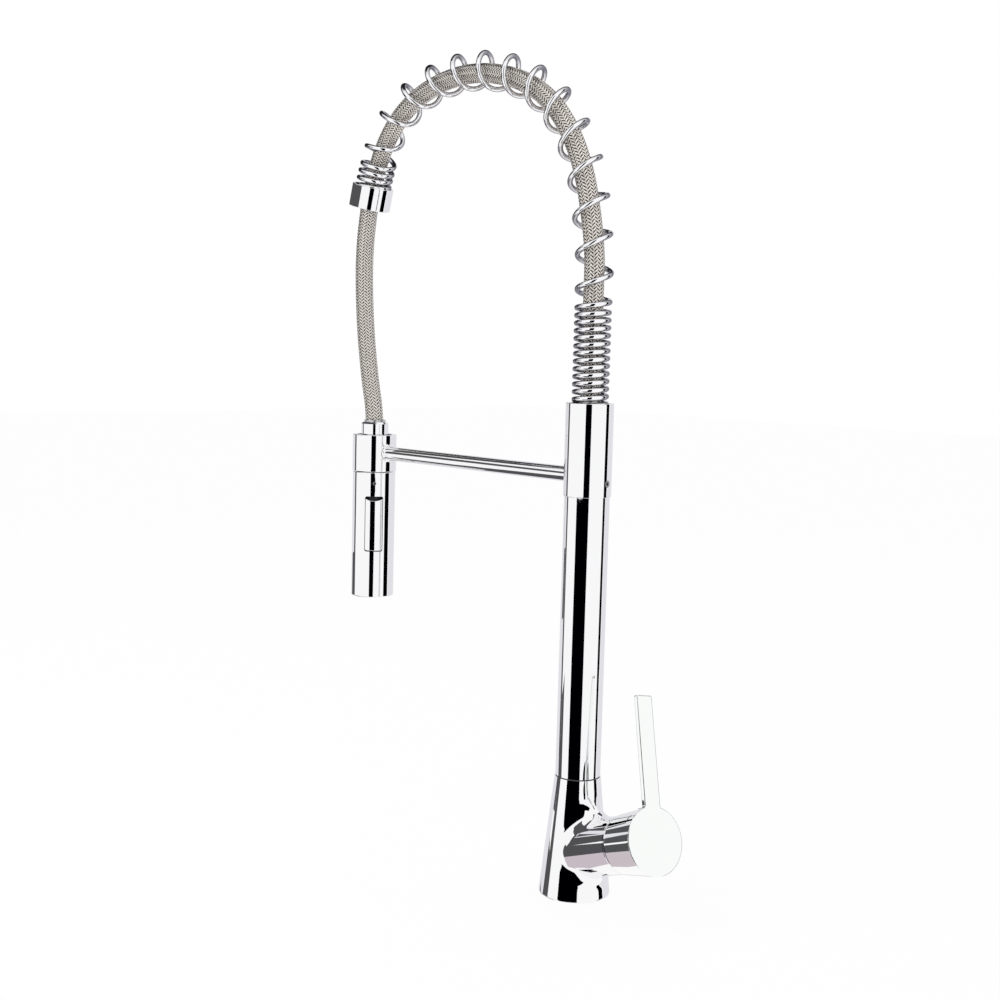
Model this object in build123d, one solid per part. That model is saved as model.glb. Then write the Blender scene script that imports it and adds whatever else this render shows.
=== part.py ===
from build123d import *

import os
from math import cos, floor, pi, radians, sin, sqrt, tan

# Kitchen mixer tap for a deck: tapered body, side lever on an upward leaning branch, tall
# column that swivels on the body, sprung hose arch, and a pull-down spray head in a holder.
# The deck is z = 0, the column stands on the Z axis and the spout reaches towards -X.
# All sizes are in millimetres.

# Fits
snug = 0.05            # radial gap of pieces that are screwed, pressed or brazed together
running = 0.06         # radial gap of a shaft that turns or slides in its hole
soft_gap = 0.3         # gap between a moving piece and what it seats on
play = 0.5             # gap round pieces that pass each other in use

# Base body
body_height = 86.0
body_base_radius = 25.6
body_top_radius = 16.4
body_edge_round = 1.5
recess_radius = 16.5
recess_depth = 8.0
gasket_inner = 17.8
gasket_outer = 22.0
gasket_height = 2.0
stud_radius = 3.4
stud_spacing = 16.0
stud_offset = 7.0
stud_depth = 16.0
inlet_radius = 4.6
inlet_depth = 12.0
inlet_spacing = 15.0
inlet_forward = 7.4
passage_radius = 3.2

# Side branch and cartridge; w is the distance out along the branch's axis
branch_turn = -8.1     # degrees the branch stands off +X, seen from above
branch_rise = 20.8     # degrees the branch leans up from the horizontal
branch_root = 30.3     # height where the branch's axis meets the column's axis
branch_radius = 19.8
branch_end = 57.4
branch_blend = 14.0
cartridge_radius = 17.5
cartridge_seat = 27.0
cartridge_base = 3.0
cartridge_shoulder = 19.0
cartridge_neck_radius = 15.0
cartridge_height = 24.0
carrier_radius = 13.4
disc_height = 3.2
port_radius = 2.8
outlet_drop = 5.5      # the outlet port lies this far below the branch's axis
inlet_lift = 5.0       # the hot and cold ports lie this far above it
seal_groove = 1.0
seal_wall = 1.4
chamber_depth = 1.0
chamber_lap = 0.2      # how far the closed chamber's edge stays inside the ports
cap_height = 3.0
cap_mouth = 8.6
nut_height = 6.5
nut_slot_width = 3.0
nut_slot_depth = 1.8

# Lever handle
lever_lean = 9.2       # degrees the lever is turned about the branch's axis at rest
lever_travel = 20.0    # degrees the lever tilts from shut to full flow
pivot_above_seat = 16.0
handle_face = 90.7     # w of the handle's flat face
handle_rear = 60.2     # w of its rear edge
handle_face_radius = 23.3
handle_rear_radius = 20.6
handle_wall = 1.7
handle_roof = 6.5
dome_mouth = 12.7
dome_step = 0.2        # the dome ring's rim stands in from the branch's edge
handle_edge_round = 0.7
bar_length = 98.1      # from the face's centre to the bar's end
bar_width = 13.2
bar_thickness = 4.0
bar_root_round = 3.0
stem_width = 8.0
stem_neck_radius = 3.4
stem_foot_radius = 2.0
stem_eye = 3.0         # half the length of the round block that the tilt pin passes
foot_above_disc = 0.6  # the ball at the stem's foot has its centre this far above the disc
hub_radius = 8.0
tilt_pin_radius = 1.5
tilt_pin_short = 2.0   # the pin ends this far inside the carrier's edge, at both ends
handle_screw_radius = 2.4
index_plug_radius = 3.2
index_plug_below_face = 11.0
index_plug_grip = 1.8  # how far the plug reaches in behind the handle's wall
index_plug_proud = 0.5

# Column and swivel
column_radius = 16.0
column_wall = 1.5
column_top = 286.0
slip_ring_height = 0.8
slip_ring_inset = 0.3
socket_radius = 12.5
socket_depth = 28.0
spigot_bore = 8.0
spigot_plug = 13.0     # length of the spigot that is brazed into the tube
seal_height = 2.4
seal_depth = 1.7
seal_spacing = 7.0
keeper_above_floor = 4.0
keeper_height = 1.6
keeper_depth = 0.9
keeper_play = 0.2
keeper_mouth = 3.0
waterway_radius = 4.5

# Upper collar, the head inside it, and the hose's nipple
collar_radius = 16.8
collar_height = 65.0
collar_edge_round = 0.4
collar_recess_depth = 15.0
head_post_radius = 11.9
head_plug = 14.0
head_bore = 5.0
nipple_thread_radius = 6.0
nipple_thread = 12.0
collar_screw_radius = 2.5
collar_screw_above_column = 9.7
collar_screw_turn = 9.0
collar_screw_sunk = 0.4

# Holder arm and ring
arm_radius = 5.5
arm_above_column = 14.0
arm_spigot_radius = 3.0
arm_spigot = 3.5
spout_reach = 237.0
ring_radius = 17.7
ring_height = 29.5
ring_below_arm = 15.0
ring_edge_round = 0.4
bush_radius = 14.0
bush_inset = 0.4
ring_foot_length = 4.0
ring_foot_round = 2.0

# Hose: its route is a list of corner points (x, height above the column), joined by arcs
hose_radius = 7.25
hose_bore = 4.0
crimp_wall = 0.95
crimp_length = 14.0
flange_height = 2.0
nipple_bore = 2.8
spray_crimp_length = 23.2
route_rise = [(0, 176), (-17, 242), (-58, 288), (-129, 306.5)]
route_fall = [(-197, 293), (-237, 255), (-255, 188), (-253, 124), (-244.5, 72)]
route_last_corner = 45.0

# Spring round the hose, and the collar at its end
spring_wire = 3.8
spring_radius = 11.2       # mean radius of the close turns at the column's end
spring_end_radius = 12.7   # mean radius from the arch on
spring_growth_turns = 6.0
spring_lift = 1.8          # the hose hangs this far inside the coil's middle over the arch
spring_lift_turn = 15.5
spring_lift_turns = 2.0
spring_leg_lead = 60.0     # degrees of turn from each straight leg to the coil
spring_leg_rise = 6.0
spring_first_angle = 15.0  # where the lower leg stands, in degrees from the arch's outside
lower_pitch = 5.25
upper_pitch = 5.6
lower_turns = 13.15
opening_turns = 1.9
open_turns = 12.0
closing_turns = 1.7
upper_turns = 3.1
open_pitch_growth = 0.16
end_collar_radius = 16.5
end_collar_length = 18.0
end_collar_start = 473.3   # distance along the route from the nipple to the collar's top
end_collar_recess = 11.5
end_collar_wall = 1.6
end_collar_edge_round = 0.5
end_bush_wall = 3.35
end_bush_inset = 0.8
hose_play = 0.6

# Spray head; its front is where the button is, and heights are counted from its shoulder
spray_turn = -37.5
spray_length = 102.0
spray_radius = 17.2
spray_wall = 1.6
spray_edge_round = 0.8
nut_radius = 10.9
inlet_nut_height = 40.0
nut_chamfer = 1.4
spray_flange_above = 15.5
spray_flange_height = 3.0
spray_flange_radius = 9.8
nipple_stem_radius = 5.0
nipple_stem_length = 12.0
nipple_seal_above = 3.0
nipple_seal_height = 1.8
nipple_seal_depth = 1.1
spray_crimp_wall = 1.0
core_radius = 9.0
core_head = 10.0
core_foot = 6.0
core_flange = 1.4
core_bore = 3.5
shell_screw_radius = 1.4
shell_screw_below = 8.9
shell_screw_sunk = 0.3
shell_screw_length = 6.0
check_valve_bore = 2.6
check_valve_end = 3.0

# Spray face at the outlet
face_recess = 1.5
face_height = 6.0
aerator_radius = 8.6
aerator_height = 4.0
aerator_lip = 1.6
nozzle_plate_height = 1.6
nozzle_plate_from_shell = 1.6
nozzle_plate_from_aerator = 1.2
nozzle_radius = 0.9
nozzle_count = 18
nozzle_proud = 0.8
mesh_pitch = 1.9
mesh_hole = 1.4
mesh_rim = 1.8

# Button, its pin, and the valve plunger that it pushes
button_width = 13.8
button_length = 42.2
button_below = 21.3
button_scoop = 1.7
button_slot_head = 1.9
button_gap = 0.4
button_corner = 1.6
button_edge_round = 0.5
button_proud = 0.6
button_thickness = 1.9
button_pin_radius = 1.0
button_pin_drop = 7.2
button_pin_inside = 3.7
button_hub_width = 8.6
button_hub_wall = 1.6
button_pad_radius = 2.0
button_pad_gap = 0.3
lug_thickness = 2.0
lug_wall = 2.2
plunger_rise = 11.0    # height of the plunger above the button's lower end
plunger_radius = 2.0
plunger_tail = 5.0
plunger_head_radius = 3.2
plunger_head_thickness = 1.4
plunger_inside = 1.5   # from the button's inside to the plunger's head
valve_spring_wire = 0.5
valve_spring_radius = 2.7
valve_spring_turns = 4

FLOOR = (Align.CENTER, Align.CENTER, Align.MIN)


def rod(radius, low, high):
    """A solid cylinder on the local Z axis from one height to another."""
    return Pos(0, 0, low) * Cylinder(radius, high - low, align=FLOOR)


def ring(outer, inner, low, high):
    """A plain ring or tube on the local Z axis."""
    return rod(outer, low, high) - rod(inner, low - 1, high + 1)


def turned(outline):
    """A turned piece: a closed outline of (radius, height) points spun about local Z."""
    face = make_face(Polyline(*[(r, z) for r, z in outline], close=True))
    return revolve(Plane.XZ * face, Axis.Z)


def block(x_low, x_high, width, z_low, z_high):
    """A box between two x places and two heights, centred on y = 0."""
    size = (x_high - x_low, width, z_high - z_low)
    middle = ((x_low + x_high) / 2, 0, (z_low + z_high) / 2)
    return Pos(*middle) * Box(*size)


def sideways(shape, forward, height, across=0.0):
    """Lays a piece made on local Z along local +X, at a height and an offset in y."""
    return Pos(forward, across, height) * Rot(0, 90, 0) * shape


def grub_screw(radius, length):
    """A headless screw on local Z from 0 to its length, with a hexagon socket in its top."""
    socket = extrude(RegularPolygon(radius * 0.55, 6), length * 0.45)
    return rod(radius, 0, length) - Pos(0, 0, length * 0.55) * socket


def nipple(thread_low, flange_low, flange_high, flange_radius, stem_radius, barb_length):
    """A hose tail: stem below, flange, and a smooth barb that fills the hose's bore."""
    solid = rod(stem_radius, thread_low, flange_low)
    solid += rod(flange_radius, flange_low, flange_high)
    solid += rod(hose_bore - snug, flange_high, flange_high + barb_length)
    return solid - rod(nipple_bore, thread_low - 1, flange_high + barb_length + 1)


# Heights that follow from the column's top
collar_top = column_top + collar_height
collar_screw_height = column_top + collar_screw_above_column
arm_height = column_top + arm_above_column
ring_low = arm_height - ring_below_arm
ring_high = ring_low + ring_height
spray_top = ring_low - play
spray_low = spray_top - spray_length
nut_top = spray_top + inlet_nut_height
spray_flange_low = spray_top + spray_flange_above
spray_flange_high = spray_flange_low + spray_flange_height

# Frames of the sub-assemblies
rise = radians(branch_rise)
branch_plane = Plane(
    origin=(0, 0, branch_root),
    x_dir=(-sin(rise), 0, cos(rise)),
    z_dir=(cos(rise), 0, sin(rise)),
)
body_place = Rot(0, 0, branch_turn)
branch_place = body_place * branch_plane.location
lever_place = branch_place * Rot(0, 0, -lever_lean)
spray_place = Pos(-spout_reach, 0, 0) * Rot(0, 0, spray_turn)

parts = {}


# The body is one brass casting: a straight cone with a branch blended into it
socket_floor = body_height - socket_depth
cone = turned([(0, 0), (body_base_radius, 0), (body_top_radius, body_height), (0, body_height)])
branch = branch_plane.location * rod(branch_radius, 0, branch_end)
body = cone + branch
blend_edges = new_edges(cone, branch, combined=body)
body = fillet(blend_edges, branch_blend)
base_edge = body.edges().filter_by(GeomType.CIRCLE).sort_by(Axis.Z)[0]
body = fillet(base_edge, body_edge_round)

body -= rod(socket_radius, socket_floor, body_height + 1)
body -= rod(recess_radius, -1, recess_depth)
body -= ring(gasket_outer, gasket_inner, -1, gasket_height)
body -= branch_plane.location * rod(cartridge_radius + snug, cartridge_seat, branch_end + 1)

# The outlet passage leans back from the cartridge to a drilling under the socket
outlet_way = branch_plane.location * Pos(-outlet_drop, 0, 0)
outlet_start = -outlet_drop * tan(rise)
outlet_floor = branch_root - outlet_drop / cos(rise)
body -= outlet_way * rod(passage_radius, outlet_start, cartridge_seat + 1)
body -= rod(waterway_radius, outlet_floor - passage_radius, socket_floor + 1)

# The hot and cold passages run back to two threaded inlets in the underside
inlet_start = (inlet_forward + inlet_lift * sin(rise)) / cos(rise)
inlet_ceiling = branch_root + inlet_start * sin(rise) + inlet_lift * cos(rise)
for side in (-1, 1):
    across = side * inlet_spacing / 2
    passage = rod(passage_radius, inlet_start, cartridge_seat + 1)
    body -= branch_plane.location * Pos(inlet_lift, across, 0) * passage
    body -= Pos(inlet_forward, across, 0) * rod(passage_radius, recess_depth, inlet_ceiling)
    body -= Pos(inlet_forward, across, 0) * rod(inlet_radius, 0, recess_depth + inlet_depth)

# A groove in the socket for the ring that keeps the spigot in
keeper_low = socket_floor + keeper_above_floor
body -= rod(socket_radius + keeper_depth, keeper_low - keeper_play,
            keeper_low + keeper_height + keeper_play)
body = body_place * body
for side in (-1, 1):
    stud = rod(stud_radius, 0, recess_depth + stud_depth)
    body -= Pos(-stud_offset, side * stud_spacing / 2, 0) * stud
parts["body"] = body
parts["base_gasket"] = ring(gasket_outer - snug, gasket_inner + snug, 0, gasket_height)


# The ceramic cartridge stands on the branch's seat
seat = cartridge_seat
pivot = seat + pivot_above_seat
disc_low = seat + cartridge_base
moving_low = disc_low + disc_height
carrier_low = moving_low + disc_height
neck_top = seat + cartridge_height
cap_low = neck_top - cap_height
cavity = carrier_radius + running
port_places = [(-outlet_drop, 0)]
port_places += [(inlet_lift, side * inlet_spacing / 2) for side in (-1, 1)]
seal_radius = port_radius + seal_wall

housing = rod(cartridge_radius, seat, seat + cartridge_shoulder)
housing += rod(cartridge_neck_radius, seat + cartridge_shoulder, neck_top)
housing -= rod(cavity, disc_low, neck_top + 1)
fixed_disc = rod(cavity - snug, disc_low, moving_low)
seals = Part()
for x, y in port_places:
    housing -= Pos(x, y, 0) * rod(port_radius, seat - 1, disc_low + 1)
    housing -= Pos(x, y, 0) * rod(seal_radius, seat - 1, seat + seal_groove)
    fixed_disc -= Pos(x, y, 0) * rod(port_radius, disc_low - 1, moving_low + 1)
    seals += Pos(x, y, 0) * ring(seal_radius - snug, port_radius, seat, seat + seal_groove)
parts["cartridge_housing"] = branch_place * housing
parts["cartridge_seals"] = branch_place * seals
parts["fixed_disc"] = branch_place * fixed_disc

# The moving disc has a water chamber below and a pocket above for the stem's foot.
# Shut, the chamber stays inside the hot and cold ports however the lever is turned.
foot_ball = carrier_low + foot_above_disc
disc_slide = (pivot - foot_ball) * radians(lever_travel)
moving_disc = rod(cavity - play - disc_slide, moving_low, carrier_low)
inlet_circle = sqrt(inlet_lift ** 2 + (inlet_spacing / 2) ** 2)
chamber_radius = inlet_circle - port_radius - chamber_lap
moving_disc -= rod(chamber_radius, moving_low - 1, moving_low + chamber_depth)
pocket = stem_foot_radius + soft_gap
moving_disc -= block(-pocket, pocket, 2 * pocket, foot_ball - pocket, carrier_low + 1)
parts["moving_disc"] = lever_place * moving_disc

# The carrier turns in the housing and holds the pin that the stem tilts on
lean = radians(lever_travel)
slot_width = stem_width + 2 * play
slot_lean = (cap_low - pivot) * tan(lean) + slot_width / 2 / cos(lean)
slot_side = stem_width / 2 * cos(lean) + stem_eye * sin(lean) + play
carrier = rod(carrier_radius, carrier_low, cap_low)
carrier -= block(-slot_lean, slot_side, slot_width, carrier_low - 1, cap_low + 1)
pin_hole = Rot(90, 0, 0) * Cylinder(tilt_pin_radius + snug, 3 * carrier_radius)
carrier -= Pos(0, 0, pivot) * pin_hole
parts["carrier"] = lever_place * carrier
tilt_pin = Rot(90, 0, 0) * Cylinder(tilt_pin_radius, 2 * (carrier_radius - tilt_pin_short))
parts["tilt_pin"] = lever_place * Pos(0, 0, pivot) * tilt_pin

parts["cartridge_cap"] = branch_place * ring(cavity - snug, cap_mouth, cap_low, neck_top)

nut_low = seat + cartridge_shoulder
nut_high = nut_low + nut_height
cartridge_nut = ring(cartridge_radius, cartridge_neck_radius + snug, nut_low, nut_high)
for turn in (0, 90):
    slot = block(-cartridge_radius - 1, cartridge_radius + 1, nut_slot_width,
                 nut_high - nut_slot_depth, nut_high + 1)
    cartridge_nut -= Rot(0, 0, turn) * slot
parts["cartridge_nut"] = branch_place * cartridge_nut

# The dome ring is part of a ball about the tilt pivot, so the handle swings over it
handle_inside = handle_rear_radius - handle_wall
reach_of_rear = sqrt(handle_inside ** 2 + (handle_rear - pivot) ** 2)
dome_radius = reach_of_rear - play
dome_end = pivot + sqrt(dome_radius ** 2 - dome_mouth ** 2)
dome_foot = nut_high + play
ball = Pos(0, 0, pivot) * Sphere(dome_radius)
dome = ball & rod(branch_radius - dome_step, branch_end, dome_end)
dome += rod(cartridge_radius, dome_foot, branch_end)
dome -= rod(dome_mouth, dome_foot - 1, dome_end + 1)
parts["dome_ring"] = branch_place * dome


# The handle is one casting: conical cap, flat face, and the bar in the face's plane
hub_low = pivot + dome_radius + 2 * play
roof_low = handle_face - handle_roof
handle = turned([
    (0, handle_rear), (handle_rear_radius, handle_rear),
    (handle_face_radius, handle_face), (0, handle_face),
])
rims = handle.edges().filter_by(GeomType.CIRCLE)
handle = fillet(rims, handle_edge_round)
outline = Circle(handle_face_radius - handle_edge_round)
outline += Pos(bar_length / 2, 0) * Rectangle(bar_length, bar_width)
corners = outline.vertices().sort_by(SortBy.DISTANCE)[:2]
outline = fillet(corners, bar_root_round)
bar_ends = outline.vertices().sort_by(Axis.X)[-2:]
outline = fillet(bar_ends, bar_thickness / 4)
bar = Pos(0, 0, handle_face - bar_thickness) * extrude(outline, bar_thickness)
bar_edges = bar.edges().filter_by(GeomType.LINE).filter_by(Axis.X)
bar = fillet(bar_edges, bar_thickness / 5)
handle += bar
handle -= rod(handle_inside, handle_rear - 1, roof_low)
handle += rod(hub_radius, hub_low, roof_low + 1)
socket_width = stem_width + 2 * snug
handle -= block(-socket_width / 2, socket_width / 2, socket_width, hub_low - 1, roof_low - 0.5)
plug_place = handle_face - index_plug_below_face
plug_share = index_plug_below_face / (handle_face - handle_rear)
skirt_radius = handle_face_radius - (handle_face_radius - handle_rear_radius) * plug_share
handle -= sideways(rod(index_plug_radius, 0, skirt_radius), hub_radius + 3, plug_place)
handle -= sideways(rod(handle_screw_radius + snug, 0, hub_radius + 2), 0, plug_place)
parts["lever_handle"] = lever_place * handle

screw_start = socket_width / 2
handle_screw = sideways(grub_screw(handle_screw_radius, hub_radius), screw_start, plug_place)
parts["handle_screw"] = lever_place * handle_screw
plug_length = handle_wall + index_plug_grip
plug_start = skirt_radius + index_plug_proud - plug_length
index_plug = rod(index_plug_radius - snug, 0, plug_length)
index_plug = fillet(index_plug.edges().sort_by(Axis.Z)[-1], index_plug_proud)
parts["index_plug"] = lever_place * sideways(index_plug, plug_start, plug_place)

stem_top = roof_low - 1.0
stem = block(-stem_width / 2, stem_width / 2, stem_width, hub_low, stem_top)
stem += rod(stem_neck_radius, pivot, hub_low)
stem += rod(stem_width / 2, pivot - stem_eye, pivot + stem_eye)
stem += rod(stem_foot_radius, foot_ball, pivot)
stem += Pos(0, 0, foot_ball) * Sphere(stem_foot_radius)
stem -= Pos(0, 0, pivot) * Rot(90, 0, 0) * Cylinder(tilt_pin_radius + running, 3 * stem_width)
parts["stem"] = lever_place * stem


# The spigot is brazed into the column and turns in the body's socket
column_low = body_height + slip_ring_height
column_inner = column_radius - column_wall
spigot_radius = socket_radius - running
spigot_low = socket_floor + play
slip_outer = column_radius - slip_ring_inset
parts["slip_ring"] = ring(slip_outer, spigot_radius + snug, body_height, column_low)
spigot = rod(spigot_radius, spigot_low, column_low)
spigot += rod(column_inner - snug, column_low, column_low + spigot_plug)
spigot -= rod(spigot_bore, spigot_low - 1, column_low + spigot_plug + 1)
spigot_seals = Part()
first_seal = keeper_low + keeper_height + seal_height + play
seal_lows = [first_seal, first_seal + seal_spacing]
for low in seal_lows:
    spigot -= ring(spigot_radius + 1, spigot_radius - seal_depth, low, low + seal_height)
    seal = ring(spigot_radius, spigot_radius - seal_depth, low, low + seal_height)
    spigot_seals += fillet(seal.edges(), seal_depth * 0.3)
spigot -= ring(spigot_radius + 1, spigot_radius - keeper_depth, keeper_low,
               keeper_low + keeper_height)
keeper = ring(socket_radius + keeper_depth - keeper_play, spigot_radius - keeper_depth,
              keeper_low, keeper_low + keeper_height)
keeper -= block(0, socket_radius + 2, keeper_mouth, keeper_low - 1, keeper_low + keeper_height + 1)
parts["swivel_spigot"] = spigot
parts["spigot_seals"] = spigot_seals
parts["retaining_ring"] = keeper

parts["column_tube"] = ring(column_radius, column_inner, column_low, column_top)

# The head is brazed into the column's top; the collar drops over its post
post_top = collar_top - collar_recess_depth
head = rod(column_inner - snug, column_top - head_plug, column_top)
head += rod(head_post_radius, column_top, post_top)
head -= rod(head_bore, column_top - head_plug - 1, post_top + 1)
head -= rod(nipple_thread_radius + snug, post_top - nipple_thread, post_top + 1)
parts["column_head"] = head

spring_outer = spring_radius + spring_wire / 2
recess = spring_outer + play
collar = rod(collar_radius, column_top, collar_top)
collar_rims = collar.edges().filter_by(GeomType.CIRCLE)
collar = fillet(collar_rims, collar_edge_round)
collar -= rod(head_post_radius + snug, column_top - 1, post_top)
collar -= rod(recess, post_top, collar_top + 1)
screw_place = Rot(0, 0, collar_screw_turn)
collar -= screw_place * sideways(rod(collar_screw_radius + snug, 0, collar_radius), 0,
                                 collar_screw_height)
spigot_start = collar_radius - arm_spigot - snug
collar -= sideways(rod(arm_spigot_radius + snug, spigot_start, collar_radius + 1), 0,
                   arm_height).rotate(Axis.Z, 180)
parts["collar"] = collar
screw_length = collar_radius - collar_screw_sunk - head_post_radius
collar_screw = sideways(grub_screw(collar_screw_radius, screw_length), head_post_radius,
                        collar_screw_height)
parts["collar_screw"] = screw_place * collar_screw

# The arm is a rod with a threaded spigot at each end, saddled to the collar
foot_end = spout_reach - ring_radius - ring_foot_length
arm = sideways(rod(arm_radius, 0, foot_end - snug), 0, arm_height)
arm -= rod(collar_radius + snug, arm_height - 2 * arm_radius, arm_height + 2 * arm_radius)
arm += sideways(rod(arm_spigot_radius, collar_radius - arm_spigot, collar_radius + 1), 0,
                arm_height)
arm += sideways(rod(arm_spigot_radius, foot_end - 1, foot_end + arm_spigot), 0, arm_height)
parts["holder_arm"] = arm.rotate(Axis.Z, 180)

# The ring and its flared foot are one casting round a plastic bush
holder = Rot(0, 0, 180) * rod(ring_radius, ring_low, ring_high)
foot = sideways(rod(arm_radius, 0, ring_radius + ring_foot_length), 0, arm_height)
holder_solid = holder + foot
foot_edges = new_edges(holder, foot, combined=holder_solid)
holder_solid = fillet(foot_edges, ring_foot_round)
holder_rims = holder_solid.edges().filter_by(GeomType.CIRCLE).filter_by(
    lambda e: abs(e.radius - ring_radius) < 0.01 and e.length > 6 * ring_radius)
holder_solid = fillet(holder_rims, ring_edge_round)
holder_solid -= rod(bush_radius, ring_low - 1, ring_high + 1)
spigot_hole = rod(arm_spigot_radius + snug, ring_radius + ring_foot_length - arm_spigot - snug,
                  ring_radius + ring_foot_length + 1)
holder_solid -= sideways(spigot_hole, 0, arm_height)
holder_place = Pos(-spout_reach, 0, 0)
parts["holder_ring"] = holder_place * holder_solid
bush = ring(bush_radius - snug, nut_radius + soft_gap, ring_low + bush_inset,
            ring_high - bush_inset)
parts["holder_bush"] = holder_place * bush


# Hose fittings
flange_top = post_top + flange_height
crimp_outer = hose_radius + snug + crimp_wall
crimp = ring(crimp_outer, hose_radius + snug, flange_top, flange_top + crimp_length)
parts["base_nipple"] = nipple(post_top - nipple_thread, post_top, flange_top, crimp_outer,
                              nipple_thread_radius, crimp_length - 2)
parts["base_crimp"] = crimp

nipple_stem_low = spray_flange_low - nipple_stem_length
spray_nipple = nipple(nipple_stem_low, spray_flange_low, spray_flange_high,
                      spray_flange_radius, nipple_stem_radius, crimp_length - 2)
nipple_seal_low = nipple_stem_low + nipple_seal_above
spray_nipple -= ring(nipple_stem_radius + 1, nipple_stem_radius - nipple_seal_depth,
                     nipple_seal_low, nipple_seal_low + nipple_seal_height)
parts["spray_nipple"] = holder_place * spray_nipple
nipple_seal = ring(nipple_stem_radius, nipple_stem_radius - nipple_seal_depth,
                   nipple_seal_low, nipple_seal_low + nipple_seal_height)
parts["nipple_seal"] = holder_place * nipple_seal
spray_crimp_inner = hose_radius + soft_gap + running
spray_crimp_outer = spray_crimp_inner + spray_crimp_wall
spray_crimp = ring(spray_crimp_outer, spray_crimp_inner, spray_flange_high,
                   spray_flange_high + spray_crimp_length)
parts["spray_crimp"] = holder_place * spray_crimp


def corner_radii(points):
    """The arc at each corner takes 0.45 of its shorter run on both sides."""
    radii = []
    for before, corner, after in zip(points, points[1:], points[2:]):
        run_in = Vector(*corner) - Vector(*before)
        run_out = Vector(*after) - Vector(*corner)
        turn = radians(run_in.get_angle(run_out))
        radii.append(0.45 * min(run_in.length, run_out.length) / tan(turn / 2))
    return radii


# The hose stands in the column head, bends over the arch and drops into the spray's crimp
route = [(0, flange_top)]
route += [(x, column_top + above) for x, above in route_rise + route_fall]
route.append((-spout_reach, column_top + route_last_corner))
route.append((-spout_reach, spray_flange_high + soft_gap))
route_points = [(x, 0, z) for x, z in route]
bend_radii = corner_radii(route_points)
route_path = FilletPolyline(*route_points, radius=bend_radii)
route_length = route_path.length
hose_section = Plane(origin=route_path @ 0, z_dir=route_path % 0) * Circle(hose_radius)
bore_section = Plane(origin=route_path @ 0, z_dir=route_path % 0) * Circle(hose_bore)
hose = sweep(hose_section, path=route_path) - sweep(bore_section, path=route_path)
parts["hose"] = hose
hose_area = pi * (hose_radius ** 2 - hose_bore ** 2)
print("hose length", round(route_length, 1), "bend radii", [round(r) for r in bend_radii])
print("hose volume over section times length", round(hose.volume / hose_area / route_length, 5))


def eased(share):
    """0 up to a share of 0, 1 from a share of 1, and a smooth step between."""
    held = max(0.0, min(1.0, share))
    return held * held * (3 - 2 * held)


def closing(turn):
    """1 until the coil begins to close at its upper end, and 0 where it has closed."""
    open_end = lower_turns + opening_turns + open_turns
    return (open_end + closing_turns - turn) / closing_turns


def openness(turn):
    """How far the coil is opened at a turn: 0 in the close turns, 1 in the open ones."""
    return eased(min((turn - lower_turns) / opening_turns, closing(turn)))


def coil_radius(turn):
    """The coil widens evenly over its first open turns."""
    grown = max(0.0, min(1.0, (turn - lower_turns) / spring_growth_turns))
    return spring_radius + (spring_end_radius - spring_radius) * grown


def coil_lift(turn):
    """How far the coil's middle lies outside the hose's line."""
    return spring_lift * eased(min((turn - spring_lift_turn) / spring_lift_turns, closing(turn)))


coil_turns = lower_turns + opening_turns + open_turns + closing_turns + upper_turns
steps_per_turn = 24
quarter = steps_per_turn // 4
step_count = round(coil_turns * 4) * quarter
collar_step = end_collar_start + end_collar_recess
coil_start = spring_wire + spring_leg_rise - flange_height
coil_end = collar_step - spring_wire - spring_leg_rise


def close_rise(turn):
    """Rise per turn if nothing opened the coil."""
    middle = lower_turns + opening_turns + open_turns / 2
    return lower_pitch if turn < middle else upper_pitch


def open_share(turn):
    """Weight of the open pitch at a turn; it grows slowly towards the spray."""
    along = (turn - lower_turns) / (coil_turns - lower_turns)
    return openness(turn) * (1 + open_pitch_growth * (along - 0.5))


# The open pitch is what brings the coil from the column head to the end collar
middles = [(i + 0.5) / steps_per_turn for i in range(step_count)]
closed_sum = sum(close_rise(t) * (1 - openness(t)) for t in middles) / steps_per_turn
open_sum = sum(open_share(t) for t in middles) / steps_per_turn
open_pitch = (coil_end - coil_start - closed_sum) / open_sum
heights = [coil_start]
for t in middles:
    pitch = close_rise(t) * (1 - openness(t)) + open_pitch * open_share(t)
    heights.append(heights[-1] + pitch / steps_per_turn)


def on_route(distance):
    """Point and direction of the hose's line, carried straight on past its lower end."""
    mode = PositionMode.LENGTH
    inside = max(0.0, min(distance, route_length))
    way = route_path.tangent_at(inside, position_mode=mode)
    return route_path.position_at(inside, position_mode=mode) + way * (distance - inside), way


def round_route(distance, angle, turn):
    """A point of the coil: its angle is counted from the arch's outside, right-handed."""
    centre, way = on_route(distance)
    outside = Vector(0, 1, 0).cross(way)
    offset = outside * cos(radians(angle)) + Vector(0, 1, 0) * sin(radians(angle))
    return centre + outside * coil_lift(turn) + offset * coil_radius(turn)


def coil_point(step):
    """The coil after a number of steps, which may be a fraction."""
    low = max(0, min(step_count - 1, floor(step)))
    distance = heights[low] + (heights[low + 1] - heights[low]) * (step - low)
    turn = step / steps_per_turn
    return round_route(distance, spring_first_angle + spring_leg_lead + 360 * turn, turn)


def biarc(start, start_way, end, end_way):
    """Two arcs that leave start along one direction and reach end along another."""
    chord = end - start
    a = 2 * (1 - start_way.dot(end_way))
    b = 2 * chord.dot(start_way + end_way)
    reach = (sqrt(b * b + 4 * a * chord.dot(chord)) - b) / (2 * a)
    first = start + start_way * reach
    second = end - end_way * reach
    joint = (first + second) * 0.5
    leave = Edge.make_tangent_arc(start, start_way, joint)
    arrive = Edge.make_tangent_arc(joint, second - first, end)
    return [leave, arrive]


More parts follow.
